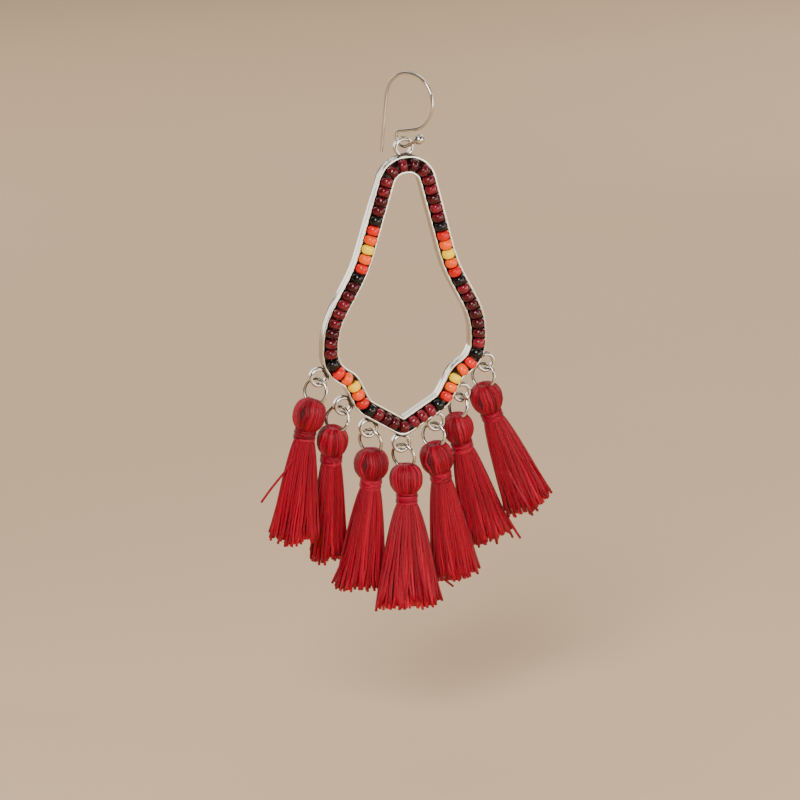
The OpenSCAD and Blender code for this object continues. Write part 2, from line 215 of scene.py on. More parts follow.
def silk(name, shadow, body, lit, turns, roughness, own_share):
    """Twisted thread: each strand has its own shade, and its plies wind round it, with painted light on their
    ridges and painted shade between them.
    """
    f = Finish(name, Roughness=roughness, Sheen_Weight=0.08, Sheen_Roughness=0.3, Specular_IOR_Level=0.2)
    own = f.attribute("shade")
    along = f.uv(1)
    around = f.uv(0)
    # In the colour the plies' stripes are painted light and shade; in the bump they are relief
    ply = (along * (turns * FULL_TURN) + around * (2 * FULL_TURN)).sine()
    fibre = f.noise(0.16, detail=2.0)
    shade = own * own_share + ply * 0.07 + fibre * 0.25 + (OWN_SHADE - own_share) * 0.6
    f.feed(Base_Color=f.ramp(shade, (0.1, shadow), (0.5, body), (0.92, lit)))
    f.bump(ply * 0.5 + fibre, depth_mm=0.05, strength=0.5)
    return f.material


def plain_thread(name, low, high, size_mm, stops, roughness, depth_mm, strength):
    """Thread without strands of its own, streaked from a low colour to a high one."""
    f = Finish(name, Roughness=roughness)
    streak = f.noise(size_mm, detail=2.0)
    f.feed(Base_Color=f.ramp(streak, (stops[0], low), (stops[1], high)))
    f.bump(streak, depth_mm, strength)
    return f.material


# Places read from the CAD nodes

# How far above the binding a tassel's neck is
NECK_GAP = 0.12 * MM
# The share of a tassel's reach below which its width is measured, and how far above the neck its head starts
TIPS = 0.9
HEAD_START = 0.5 * MM


def corners(node):
    """The node's own points, each once."""
    co = np.array([v.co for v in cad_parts[node].data.vertices])
    return np.unique(np.round(co, 7), axis=0)


def thin_axis(points):
    """The middle of a round flat form, and the direction in which it is thinnest."""
    middle = points.mean(0)
    return Vector(middle), Vector(np.linalg.eigh(np.cov((points - middle).T))[1][:, 0])


def measured(points, middle, axis):
    """How far each point lies along an axis through the middle, and how far from the axis."""
    away = points - np.array(middle)
    along = away @ np.array(axis)
    return along, np.linalg.norm(away - np.outer(along, axis), axis=1)


def ring_sizes(number):
    """A jump ring's middle and axis, and the radii of the ring and of its wire."""
    points = corners(f"jump_ring_{number}")
    middle, axis = thin_axis(points)
    spread = np.linalg.norm(points - np.array(middle), axis=1)
    return middle, axis, (spread.max() + spread.min()) / 2, (spread.max() - spread.min()) / 2


def across(up):
    """Two directions across an upright one: to the right and to the back."""
    east = (EAST - up * EAST.dot(up)).normalized()
    return east, up.cross(east)


class Hanging:
    """Where one tassel hangs: its ring, its head and its skirt, with their own directions."""

    def __init__(self, number):
        self.number = number
        self.ring_middle, self.ring_axis, self.ring_r, self.wire_r = ring_sizes(number)
        band = corners(f"binding_{number}")
        self.band_middle, axis = thin_axis(band)
        self.up = axis if axis.z > 0 else -axis
        height, r = measured(band, self.band_middle, self.up)
        self.band_h = height.max() - height.min()
        self.band_in = r.min()
        self.neck = self.band_middle + self.up * (self.band_h / 2 + NECK_GAP)
        self.rest = self.on_ring(self.neck)
        self.east, self.north = across(self.up)
        form = corners(f"tassel_{number}")
        down = (np.array(self.neck) - form) @ np.array(self.up)
        self.reach = down.max()
        tips = form[down > TIPS * self.reach] - np.array(self.neck - self.up * self.reach)
        self.wide = abs(tips @ np.array(self.east)).max()
        self.deep = abs(tips @ np.array(self.north)).max()
        self.head_up = (self.rest - self.neck).normalized()
        self.head_east, self.head_north = across(self.head_up)
        rise, r = measured(form[down < -HEAD_START], self.rest, self.head_up)
        self.head_r = r.max()
        self.head_top = rise.max()
        self.head_low = -(self.rest - self.neck).length

    def on_ring(self, point):
        """The nearest point of the middle of the ring's wire."""
        flat = point - self.ring_middle
        flat -= self.ring_axis * flat.dot(self.ring_axis)
        return self.ring_middle + flat.normalized() * self.ring_r

    def off_ring(self, point, gap):
        """The same point, moved out of the ring's wire where it lies in it."""
        near = self.on_ring(point)
        away = point - near
        return near + away * (gap / away.length) if away.length < gap else point

    def in_head(self, azimuth, r, rise):
        """A place in the head. The azimuth runs from its front towards its right."""
        return (self.rest + self.head_up * rise + self.head_east * (r * math.sin(azimuth))
                - self.head_north * (r * math.cos(azimuth)))

    def in_skirt(self, azimuth, r_wide, r_deep, down):
        """A place in the skirt, whose radius is another from side to side than from front to back."""
        return (self.neck - self.up * down + self.east * (r_wide * math.sin(azimuth))
                - self.north * (r_deep * math.cos(azimuth)))

    def on_band(self, azimuth, r, rise):
        """A place round the neck, as high above the binding's lower edge as its rise."""
        low = self.band_middle - self.up * self.band_h / 2
        return (low + self.up * rise + self.east * (r * math.sin(azimuth))
                - self.north * (r * math.cos(azimuth)))


# Making pieces

def finished(mesh, name, materials, node):
    """A piece at the origin that rides on its body and stands for its CAD node."""
    piece = bpy.data.objects.new(name, mesh)
    bpy.context.scene.collection.objects.link(piece)
    for material in materials:
        mesh.materials.append(material)
    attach(piece, BODY)
    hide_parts(node)


def smooth_mesh(bm, mesh):
    """Writes what was shaped to a mesh, with every face smooth."""
    for face in bm.faces:
        face.smooth = True
    bm.to_mesh(mesh)
    bm.free()
    return mesh


def islands(bm):
    """The vertices of each separate form in a mesh."""
    found, seen = [], set()
    for start in bm.verts:
        if start.index in seen:
            continue
        seen.add(start.index)
        stack, island = [start], []
        while stack:
            here = stack.pop()
            island.append(here)
            for edge in here.link_edges:
                other = edge.other_vert(here)
                if other.index not in seen:
                    seen.add(other.index)
                    stack.append(other)
        found.append(island)
    return found


def shade_islands(mesh, shades):
    """Gives each separate form of a mesh its own shade, in an attribute."""
    bm = bmesh.new()
    bm.from_mesh(mesh)
    bmesh.ops.remove_doubles(bm, verts=bm.verts, dist=SAME_POINT)
    bmesh.ops.recalc_face_normals(bm, faces=bm.faces)
    bm.verts.index_update()
    layer = bm.verts.layers.float.new("shade")
    for island, own in zip(islands(bm), shades):
        for vert in island:
            vert[layer] = own
    return smooth_mesh(bm, mesh)


def strands(name, paths, sides):
    """Round strands as a mesh. Each path is a list of (point, radius)."""
    curve = bpy.data.curves.new(name, "CURVE")
    curve.dimensions = "3D"
    curve.bevel_depth = 1.0
    # A level of 0 is round with 4 sides, and each further level has 2 more
    curve.bevel_resolution = (sides - 4) // 2
    curve.use_fill_caps = True
    curve.resolution_u = 1
    for path in paths:
        spline = curve.splines.new("POLY")
        spline.points.add(len(path) - 1)
        for point, (place, r) in zip(spline.points, path):
            point.co = (*place, 1)
            point.radius = r
    holder = bpy.data.objects.new(name, curve)
    bpy.context.scene.collection.objects.link(holder)
    graph = bpy.context.evaluated_depsgraph_get()
    mesh = bpy.data.meshes.new_from_object(holder.evaluated_get(graph))
    bpy.data.objects.remove(holder)
    bpy.data.curves.remove(curve)
    return mesh


def joined(meshes):
    """One mesh of several, each with its own material slot number."""
    bm = bmesh.new()
    for index, mesh in enumerate(meshes):
        first = len(bm.faces)
        bm.from_mesh(mesh)
        bm.faces.ensure_lookup_table()
        for face in bm.faces[first:]:
            face.material_index = index
    return smooth_mesh(bm, bpy.data.meshes.new(meshes[0].name))


# Tassels: the head

# The head's outline from the top down: share of its height, and share of its radius
HEAD = ((0.0, 0.28), (0.05, 0.55), (0.15, 0.80), (0.32, 0.96), (0.5, 1.0), (0.7, 0.97), (0.87, 0.85),
        (1.0, 0.63))
# Shares of the height, from the top down, at which a strand has a point
HEAD_STEPS = (0.03, 0.09, 0.17, 0.27, 0.38, 0.49, 0.6, 0.71, 0.82, 0.92, 1.0)
HEAD_STRANDS = 64
HEAD_STRAND_R = 0.18 * MM
HEAD_SIDES = 6
# How far a strand may lie off its even place: share of the spacing, lift in mm, and lean in degrees
HEAD_UNEVEN = 0.3
HEAD_LIFT = (-0.12, 0.05)
HEAD_LEAN = 5
# How far the strands spread along the ring's wire, and how far they lie below the top, in mm
OVER_WIRE = 1.25
OVER_UNEVEN = 0.3
TOP_BELOW = 0.3
# Where each head's strands part: degrees from its front to its right, share of its height from the top down,
# and half the opening in degrees
EYES = ((-46, 0.46, 11), (-70, 0.3, 5), (-40, 0.46, 9), (-30, 0.12, 5), (-48, 0.4, 11), (-55, 0.5, 3),
        (-44, 0.48, 9))
# How far round and how far up and down an eye pushes the strands: degrees, and share of the height
EYE_ROUND = 30
EYE_TALL = 0.17
# A strand's thickness at the top as a share of its radius, and how many radii it lies inside the outline
TOP_R = 0.85
INSIDE = 0.9
# Its end under the binding: share of the binding's inner radius, depth below the neck, and share of its own
# radius
UNDER_BAND = 0.8
UNDER_NECK = 0.6 * MM
UNDER_R = 0.7


def turn_between(start, end):
    """The shorter way round from one azimuth to another."""
    return (end - start + math.pi) % FULL_TURN - math.pi


def outline_at(share):
    """The share of the head's radius at this share of its height, from the top down."""
    for (low, r_low), (high, r_high) in zip(HEAD, HEAD[1:]):
        if share <= high:
            return r_low + (r_high - r_low) * (share - low) / (high - low)
    return HEAD[-1][1]


def hump(offset, width):
    """1 in the middle, and falling smoothly to nothing on both sides."""
    return math.exp(-(offset / width) ** 2)


def head_paths(hang, draw):
    """Strands that lie over the ring's wire, part round a small eye, and run down to the neck."""
    height = hang.head_top - hang.head_low
    clear = hang.wire_r + HEAD_STRAND_R
    along_wire = hang.ring_axis.cross(hang.head_up).normalized()
    wire_at = math.atan2(along_wire.dot(hang.head_east), -along_wire.dot(hang.head_north))
    eye_at, eye_share, eye_half = EYES[hang.number - 1]
    paths = []
    for k in range(HEAD_STRANDS):
        azimuth = FULL_TURN * (k + HEAD_UNEVEN * draw.uniform(-1, 1)) / HEAD_STRANDS
        lift = draw.uniform(*HEAD_LIFT) * MM
        lean = math.radians(draw.uniform(-HEAD_LEAN, HEAD_LEAN))
        over = (OVER_WIRE * MM * math.cos(azimuth - wire_at)
                + draw.uniform(-OVER_UNEVEN, OVER_UNEVEN) * MM)
        top = hang.in_head(wire_at, over, hang.head_top - TOP_BELOW * MM + lift)
        path = [(hang.off_ring(top, clear), HEAD_STRAND_R * TOP_R)]
        for share in HEAD_STEPS:
            r = outline_at(share) * hang.head_r - HEAD_STRAND_R * INSIDE + lift
            turned = azimuth + lean * (share - 0.5)
            off = turn_between(math.radians(eye_at), turned)
            opened = hump(off, math.radians(EYE_ROUND)) * hump(share - eye_share, EYE_TALL)
            turned += math.copysign(math.radians(eye_half) * opened, off)
            point = hang.in_head(turned, r, hang.head_top - share * height)
            path.append((hang.off_ring(point, clear), HEAD_STRAND_R))
        end_r = hang.band_in * UNDER_BAND
        path.append((hang.in_skirt(azimuth, end_r, end_r, UNDER_NECK), HEAD_STRAND_R * UNDER_R))
        paths.append(path)
    return paths


# Tassels: the skirt

SKIRT_STRANDS = 205
SKIRT_LOCKS = 21
SKIRT_STRAND_R = 0.245 * MM
SKIRT_STEPS = 14
SKIRT_SIDES = 6
# How far below the neck its strands start
SKIRT_START = 0.5 * MM
# The skirt's outline: how fast it widens, its share of the CAD form's width, and how far it starts outside
# the neck
SKIRT_FLARE = 0.75
SKIRT_WIDE = 1.04
SKIRT_OFF_NECK = 0.1 * MM
# From one strand to the next, round the skirt
GOLDEN_ANGLE = math.pi * (3 - math.sqrt(5))
# How far a lock may lie off its even place, as a share of the spacing
LOCK_UNEVEN = 0.3
# Shares of the tassel's reach: the skirt's length, and how much longer a lock and a strand are
SKIRT_LENGTH = 1.005
LOCK_LENGTH = (-0.05, 0.02)
STRAND_LENGTH = (-0.035, 0.02)
# How much of the way to its lock a strand is drawn
LOCK_DRAW = (0.1, 0.7)
# A strand's own shape: drift round the skirt in degrees, wave in mm, waves over its length, and curl in mm
DRIFT = 7
WAVE = (0.05, 0.35)
WAVES = (0.5, 1.6)
CURL = 0.25
# Shares of a strand's radius: under the binding, where it is pressed, and added at the frayed cut end
PRESSED = 0.72
FRAYED = 0.12
# The lowest random tone of a strand, and the share of it that painted shade leaves in the middle of the skirt
SHADE_LOW = 0.42
PAINTED_SHADE_DEEP = 0.2
# Strands that have left their tassel, by its number. Columns: how far to the right of the skirt's middle and
# how far down the tip lies, in mm, and the share of the way at which the strand leaves
STRAYS = {1: ((-7.3, 14.8, 0.35),),
          3: ((-5.9, 21.6, 0.6), (-5.2, 22.0, 0.7)),
          5: ((-0.8, 24.6, 0.8), (5.0, 21.5, 0.6)),
          6: ((6.3, 25.4, 0.55), (5.9, 23.8, 0.5), (5.0, 24.6, 0.6))}
# Where it lies before it leaves: shares of the skirt's half width and half depth
STRAY_WIDE = 0.8
STRAY_DEEP = 0.5
# Its wave: height, and radians over its length
STRAY_WAVE = 0.15 * MM
STRAY_WAVES = 7
# How gently it leaves, and its shade
STRAY_EASE = 1.3
STRAY_SHADE = (0.7, 1.0)


def skirt_at(hang, spread):
    """Half the skirt's width and depth, from 0 under the binding to 1 at the cut ends."""
    flare = spread ** SKIRT_FLARE
    top = hang.band_in + SKIRT_OFF_NECK
    return top + (hang.wide * SKIRT_WIDE - top) * flare, top + (hang.deep - top) * flare


def fullness(spread):
    """The share of a strand's radius at this share of the skirt, from the binding down."""
    return PRESSED + (1 - PRESSED) * min(1.0, spread * 3) + FRAYED * max(0.0, spread * 8 - 7)


def lock_starts(draw):
    """Where the skirt's small locks lie round it, and how much longer or shorter each is."""
    places = [FULL_TURN * (k + LOCK_UNEVEN * draw.uniform(-1, 1)) / SKIRT_LOCKS for k in range(SKIRT_LOCKS)]
    return places, [draw.uniform(*LOCK_LENGTH) for _ in places]


def skirt_paths(hang, draw):
    """Strands that spread from under the binding to uneven cut ends, drawn together into small locks.

    Gives the paths, and a shade for each: a random tone, with painted shade that makes the deeper ones
    darker."""
    locks, lock_longer = lock_starts(draw)
    paths, shades = [], []
    for k in range(SKIRT_STRANDS):
        share = ((k + 0.5) / SKIRT_STRANDS) ** 0.5
        azimuth = k * GOLDEN_ANGLE
        nearest = min(range(SKIRT_LOCKS), key=lambda i: abs(turn_between(azimuth, locks[i])))
        end = azimuth + turn_between(azimuth, locks[nearest]) * draw.uniform(*LOCK_DRAW)
        length = hang.reach * (SKIRT_LENGTH + lock_longer[nearest] + draw.uniform(*STRAND_LENGTH))
        drift = math.radians(draw.gauss(0, DRIFT))
        wave = draw.uniform(*WAVE) * MM
        phase = draw.uniform(0, FULL_TURN)
        waves = draw.uniform(*WAVES)
        curl = Vector((draw.gauss(0, CURL), draw.gauss(0, CURL), 0)) * MM
        path = []
        for step in range(SKIRT_STEPS + 1):
            s = step / SKIRT_STEPS
            down = SKIRT_START + (length - SKIRT_START) * s
            spread = max(0.0, (down - hang.band_h) / (length - hang.band_h))
            wide, deep = skirt_at(hang, spread)
            turned = azimuth + (end - azimuth) * spread + drift * spread ** 2
            shift = wave * spread * math.sin(phase + FULL_TURN * waves * spread)
            point = hang.in_skirt(turned, wide * share, deep * share, down)
            point += hang.east * (shift * math.cos(azimuth)) + hang.north * (shift * math.sin(azimuth))
            path.append((point + curl * spread ** 4, SKIRT_STRAND_R * fullness(spread)))
        paths.append(path)
        # A random tone, times painted shade that darkens the strands lying deep in the skirt
        shades.append((SHADE_LOW + (1 - SHADE_LOW) * draw.random())
                      * (PAINTED_SHADE_DEEP + (1 - PAINTED_SHADE_DEEP) * share ** 2))
    for stray in STRAYS.get(hang.number, ()):
        paths.append(stray_path(hang, *stray))
        shades.append(draw.uniform(*STRAY_SHADE))
    return paths, shades


def stray_path(hang, aside, tip, leave):
    """A strand that runs down with the skirt and then leaves it."""
    path = []
    for step in range(SKIRT_STEPS + 1):
        s = step / SKIRT_STEPS
        down = SKIRT_START + (tip * MM - SKIRT_START) * s
        wide, deep = skirt_at(hang, max(0.0, (down - hang.band_h) / (hang.reach - hang.band_h)))
        free = max(0.0, (s - leave) / (1 - leave))
        side = math.copysign(wide * STRAY_WIDE, aside)
        right = (side + (aside * MM - side) * free ** STRAY_EASE
                 + STRAY_WAVE * math.sin(STRAY_WAVES * s + aside))
        front = deep * STRAY_DEEP * (1 - free)
        path.append((hang.neck - hang.up * down + hang.east * right - hang.north * front, SKIRT_STRAND_R))
    return path


# Tassels: the dark form under the outer strands, which paints the shade deep inside the tassel

CORE_SIDES = 24
# The first point of the head's outline at which it has a section
CORE_FROM = 2
# How deep it lies in the head, in strand radii
CORE_DEPTH = 2.2
# Shares of the skirt's length at which it has a section, how fast it widens, and its share of the skirt's
# width at the top and what that loses on the way down
CORE_STEPS = (0.05, 0.2, 0.45, 0.7, 0.9)
CORE_FLARE = 0.82
CORE_TOP = 0.74
CORE_LOSS = 0.25


def core_sections(hang):
    """The core's sections from the top down: middle, upright, right, half width and half depth."""
    height = hang.head_top - hang.head_low
    for share, r in HEAD[CORE_FROM:]:
        half = r * hang.head_r - CORE_DEPTH * HEAD_STRAND_R
        yield (hang.rest + hang.head_up * (hang.head_top - share * height), hang.head_up, hang.head_east,
               half, half)
    for s in CORE_STEPS:
        flare = s ** CORE_FLARE
        wide, deep = ((hang.band_in + (half - hang.band_in) * flare) * (CORE_TOP - CORE_LOSS * s)
                      for half in (hang.wide, hang.deep))
        yield (hang.neck - hang.up * (hang.band_h + (hang.reach - hang.band_h) * s), hang.up, hang.east,
               wide, deep)


def tassel_core(hang):
    """A closed form through the core's sections, dark as painted shade."""
    bm = bmesh.new()
    previous = None
    for middle, up, east, wide, deep in core_sections(hang):
        east = (east - up * east.dot(up)).normalized()
        turn = Matrix((east, up.cross(east), up)).transposed().to_4x4()
        place = Matrix.Translation(middle) @ turn @ Matrix.Diagonal((wide, deep, 1, 1))
        made = bmesh.ops.create_circle(bm, segments=CORE_SIDES, radius=1.0, matrix=place)
        edges = list({edge for vert in made["verts"] for edge in vert.link_edges})
        if previous is None:
            bmesh.ops.contextual_create(bm, geom=edges)
        else:
            bmesh.ops.bridge_loops(bm, edges=previous + edges)
        previous = edges
    bmesh.ops.contextual_create(bm, geom=previous)
    bmesh.ops.recalc_face_normals(bm, faces=bm.faces)
    return smooth_mesh(bm, bpy.data.meshes.new("tassel_core"))


# Tassels: the binding

BAND_STRAND_R = 0.15 * MM
BAND_SIDES = 8
BAND_STEPS = 28
# In strand radii: from one turn to the next, and how far a turn's middle lies outside the neck
BAND_PITCH = 1.75
BAND_BULGE = (1.0, 1.5)
# How far a turn may rise and fall on its way round, in mm
BAND_SLOPE = 0.06
# The slanting turns: share of the binding's height by which each rises, and where round the neck it starts
SLANTS = ((0.30, 0.15), (-0.26, 0.6), (0.16, 0.4))
# In strand radii: how far the slanting turns lie outside the neck, and how thick they are
SLANT_OUT = 2.2
SLANT_R = 0.8


def band_paths(hang, draw):
    """One thread wound round the neck in close turns, then a few times back over itself at a slant."""
    inner_h = hang.band_h - 2 * BAND_STRAND_R
    turns = round(inner_h / (BAND_PITCH * BAND_STRAND_R)) + 1
    paths = []
    for k in range(turns):
        wobble = draw.uniform(0, FULL_TURN)
        slope = draw.uniform(-BAND_SLOPE, BAND_SLOPE) * MM
        r = hang.band_in + BAND_STRAND_R * draw.uniform(*BAND_BULGE)
        turn = []
        for step in range(BAND_STEPS + 2):
            angle = FULL_TURN * step / BAND_STEPS + wobble
            rise = BAND_STRAND_R + inner_h * k / (turns - 1) + slope * math.sin(angle)
            turn.append((hang.on_band(angle, r, rise), BAND_STRAND_R))
        paths.append(turn)
    for slant, phase in SLANTS:
        over = []
        for step in range(BAND_STEPS + 2):
            angle = FULL_TURN * (step / BAND_STEPS + phase)
            rise = hang.band_h * (0.5 + slant * math.sin(angle))
            over.append((hang.on_band(angle, hang.band_in + BAND_STRAND_R * SLANT_OUT, rise),
                         BAND_STRAND_R * SLANT_R))
        paths.append(over)
    return paths


TASSEL_SEED = 40


def make_tassel(number, looks):
    """One tassel's threads and the winding of its binding. Its draws come in a fixed order."""
    draw = random.Random(TASSEL_SEED + number)
    hang = Hanging(number)
    paths = head_paths(hang, draw)
    head = shade_islands(strands("head", paths, HEAD_SIDES), [draw.random() for _ in paths])
    paths, shades = skirt_paths(hang, draw)
    skirt = shade_islands(strands("skirt", paths, SKIRT_SIDES), shades)
    whole = joined([head, skirt, tassel_core(hang)])
    finished(whole, f"tassel_{number}_threads", [looks["head"], looks["skirt"], looks["core"]],
             f"tassel_{number}")
    paths = band_paths(hang, draw)
    band = shade_islands(strands("band", paths, BAND_SIDES), [draw.random() for _ in paths])
    finished(band, f"binding_{number}_winding", [looks["band"]], f"binding_{number}")


# Beads

BEAD_SIDES = 24
BEAD_STEPS = 12
# 1 is round in outline, and less is fuller at the shoulders
BEAD_FULLNESS = 0.82
# The share of half the length at which the hole's edge lies
BEAD_END = 0.8
# Shares of the CAD bead's length and width, and how far a bead may tilt
BEAD_LENGTH = (0.99, 1.04)
BEAD_WIDTH = (0.95, 1.01)
BEAD_TILT = 0.05


def bead_shape(bm, length, width, hole):
    """A round bead on the X axis: its outline is spun round the axis."""
    r = length / 2
    middle = max(width / 2 - r, hole / 2)
    outline = [bm.verts.new((BEAD_END * r, hole / 2, 0))]
    for k in range(BEAD_STEPS + 1):
        a = math.pi * (0.5 - k / BEAD_STEPS)
        along = math.copysign(abs(math.sin(a)) ** BEAD_FULLNESS, math.sin(a))
        out = max(0.0, math.cos(a)) ** BEAD_FULLNESS
        outline.append(bm.verts.new((r * along, middle + (width / 2 - middle) * out, 0)))
    outline.append(bm.verts.new((-BEAD_END * r, hole / 2, 0)))
    edges = [bm.edges.new(pair) for pair in zip(outline, outline[1:])]
    edges.append(bm.edges.new((outline[-1], outline[0])))
    bmesh.ops.spin(bm, geom=outline + edges, cent=(0, 0, 0), axis=(1, 0, 0), angle=FULL_TURN,
                   steps=BEAD_SIDES, use_merge=True)


def make_beads(colour, material):
    """A bead at each of the CAD beads of this colour, no two quite the same."""
    node = f"beads_{colour}"
    draw = random.Random(node)
    source = bmesh.new()
    source.from_mesh(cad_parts[node].data)
    bmesh.ops.remove_doubles(source, verts=source.verts, dist=SAME_POINT)
    source.verts.index_update()
    whole = bmesh.new()
    shade = whole.verts.layers.float.new("shade")
    for island in islands(source):
        points = np.array([v.co for v in island])
        middle, axis = thin_axis(points)
        along, out = measured(points, middle, axis)
        length = (along.max() - along.min()) * draw.uniform(*BEAD_LENGTH)
        width = 2 * out.max() * draw.uniform(*BEAD_WIDTH)
        one = bmesh.new()
        bead_shape(one, length, width, 2 * out.min())
        bmesh.ops.recalc_face_normals(one, faces=one.faces)
        tilt = Vector([draw.uniform(-1, 1) for _ in range(3)]) * BEAD_TILT
        turn = (axis + tilt).to_track_quat("X", "Z").to_matrix().to_4x4()
        bmesh.ops.transform(one, verts=one.verts, matrix=Matrix.Translation(middle) @ turn)
        mesh = smooth_mesh(one, bpy.data.meshes.new("bead"))
        first = len(whole.verts)
        whole.from_mesh(mesh)
        bpy.data.meshes.remove(mesh)
        whole.verts.ensure_lookup_table()
        own = draw.random()
        for vert in whole.verts[first:]:
            vert[shade] = own
    source.free()
    mesh = smooth_mesh(whole, bpy.data.meshes.new(f"{node}_glass"))
    finished(mesh, f"{node}_glass", [material], node)


# Jump rings

RING_STEPS = 64
RING_SIDES = 20
# Where the ring's two ends meet, from its top, and half the width of the line there, in radians
RING_JOIN = 1.83
JOIN_HALF = 0.02
# The share of the wire's radius by which the line is sunk
JOIN_SUNK = 0.1
# The join's own points lie closer than this to its plane
JOIN_NEAR = 0.002 * MM


def make_ring(number, material):
    """A round jump ring, with the fine line where its two ends meet."""
    node = f"jump_ring_{number}"
    middle, axis, ring_r, wire_r = ring_sizes(number)
    top = (UP - axis * UP.dot(axis)).normalized()
    join = Matrix.Rotation(RING_JOIN, 3, axis) @ top
    along = axis.cross(join)
    at_join = middle + join * ring_r
    section = Matrix.Translation(at_join) @ Matrix((join, axis, -along)).transposed().to_4x4()
    bm = bmesh.new()
    bmesh.ops.create_circle(bm, segments=RING_SIDES, radius=wire_r, matrix=section)
    bmesh.ops.spin(bm, geom=bm.verts[:] + bm.edges[:], cent=middle, axis=axis, angle=FULL_TURN,
                   steps=RING_STEPS, use_merge=True)
    for turn in (-JOIN_HALF, JOIN_HALF):
        bmesh.ops.bisect_plane(bm, geom=bm.verts[:] + bm.edges[:] + bm.faces[:], dist=0.5 * SAME_POINT,
                               plane_co=middle, plane_no=Matrix.Rotation(turn, 3, axis) @ along)
    recess = bm.verts.layers.float.new("recess")
    # The inner side of the ring is darker, as patina and painted shade; the join's line is dark as a joint
    for vert in bm.verts:
        out = vert.co - middle
        out -= axis * out.dot(axis)
        vert[recess] = max(0.0, (ring_r - out.length) / wire_r)
        if abs(out.dot(along)) < JOIN_NEAR and out.dot(join) > 0:
            vert[recess] = 1.0
            vert.co += (at_join - vert.co) * JOIN_SUNK
    bmesh.ops.recalc_face_normals(bm, faces=bm.faces)
    mesh = smooth_mesh(bm, bpy.data.meshes.new(f"{node}_round"))
    finished(mesh, f"{node}_round", [material], node)


# The frame

EDGE_ROUND = 0.07 * MM
# In degrees: faces that are flat together, edges that are rounded, and edges that stay sharp to the eye
FLAT_ANGLE = 0.4
ROUNDED_ANGLE = 40
SHARP_ANGLE = 28
# The bead thread's radius
THREAD_R = 0.21 * MM
# Distances from the thread's line to the channel's walls and to the frame's outer side
CHANNEL_HALF = 1.35 * MM
WALL_OUT = 1.65 * MM
# How far behind the thread's plane the front rims and the channel's floor are, and the frame's own depth
RIM_DEPTH = 0.25 * MM
FLOOR_DEPTH = 1.35 * MM
FRAME_DEPTH = 2.3 * MM
# How far the patina may lie past a wall and past the floor, and how far out it lies on a loop's foot
WALL_MARGIN = 0.04 * MM
FLOOR_MARGIN = 0.1 * MM
FOOT_MARGIN = 0.55 * MM
FOOT_PATINA = 0.75


def make_frame(material):
    """The cast frame with its edges rounded, and its recesses marked for the patina."""
    bm = bmesh.new()
    bm.from_mesh(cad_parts["frame"].data)
    bmesh.ops.remove_doubles(bm, verts=bm.verts, dist=0.5 * SAME_POINT)
    bmesh.ops.dissolve_limit(bm, angle_limit=math.radians(FLAT_ANGLE), verts=bm.verts, edges=bm.edges)
    edges = [e for e in bm.edges
             if len(e.link_faces) == 2 and e.calc_face_angle(0) > math.radians(ROUNDED_ANGLE)]
    bmesh.ops.bevel(bm, geom=edges, offset=EDGE_ROUND, offset_type="OFFSET", segments=2, profile=0.5,
                    affect="EDGES", material=-1, clamp_overlap=True)
    bmesh.ops.triangulate(bm, faces=[f for f in bm.faces if len(f.verts) > 4])
    line = bmesh.new()
    line.from_mesh(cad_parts["bead_thread"].data)
    tree = BVHTree.FromBMesh(line)
    middle, front = thin_axis(np.array([v.co for v in line.verts]))
    line.free()
    if front.y > 0:
        front = -front
    recess = bm.verts.layers.float.new("recess")
    back = bm.verts.layers.float.new("back")
    for vert in bm.verts:
        depth = -(vert.co - middle).dot(front)
        # How far back a point lies, as a share of the frame's depth: it places the painted shade line and the
        # darker back
        vert[back] = (depth - RIM_DEPTH) / FRAME_DEPTH
        near = tree.find_nearest(vert.co + front * depth)[3] + THREAD_R
        if near < CHANNEL_HALF + WALL_MARGIN:
            in_channel = RIM_DEPTH + 2 * EDGE_ROUND < depth < FLOOR_DEPTH + FLOOR_MARGIN
            vert[recess] = 1.0 if in_channel else 0.0
        elif WALL_OUT + WALL_MARGIN < near < WALL_OUT + FOOT_MARGIN:
            vert[recess] = FOOT_PATINA
    mesh = smooth_mesh(bm, bpy.data.meshes.new("frame_antiqued"))
    mesh.set_sharp_from_angle(angle=math.radians(SHARP_ANGLE))
    finished(mesh, "frame_antiqued", [material], "frame")


# The scene

# Where the camera stands: degrees to the right of the front and up, the point in mm that it looks at, and how
# far from that point it is
AZIMUTH = -20
ELEVATION = 13.5
TARGET = (-1.9, -0.2, -63.4)
DISTANCE = 0.8547
LENS = 200
SENSOR = 36
# The floor's height and half its width
FLOOR_AT = -0.135
FLOOR_HALF = 4.0
FLOOR_TONES = ((0.3, (0.64, 0.45, 0.28)), (0.7, (0.68, 0.49, 0.31)))
ROOM_COLOUR = (1.0, 0.86, 0.72, 1)
ROOM_STRENGTH = 0.16
# The point that every lamp looks at
LIT_PLACE = (0, 0, -0.05)
# Columns: name, place, width and height, power, colour
LIGHTS = (("key", (-0.50, -0.75, 0.50), (0.35, 0.5), 12.0, (1.0, 0.96, 0.91)),
          ("strip", (0.62, -0.35, 0.05), (0.12, 0.7), 3.0, (1.0, 0.97, 0.95)),
          ("above", (0.0, 0.35, 1.1), (1.6, 1.6), 8.0, (1.0, 0.95, 0.88)),
          ("behind_left", (-0.48, 0.95, 0.06), (0.5, 0.7), 3.2, (1.0, 0.97, 0.91)),
          ("low_front", (0.15, -0.42, -0.09), (0.3, 0.3), 1.5, (1.0, 0.97, 0.90)),
          ("behind_above", (-0.03, 0.95, 0.37), (0.45, 0.35), 0.9, (1.0, 0.97, 0.91)),
          ("behind_right", (0.75, 0.8, 0.35), (0.5, 0.5), 3.0, (1.0, 0.97, 0.94)))


def stand(thing, place, sight):
    """Puts a camera or a lamp at its place, looking along its line of sight."""
    thing.location = place
    thing.rotation_mode = "QUATERNION"
    thing.rotation_quaternion = sight.to_track_quat("-Z", "Y")
    bpy.context.scene.collection.objects.link(thing)


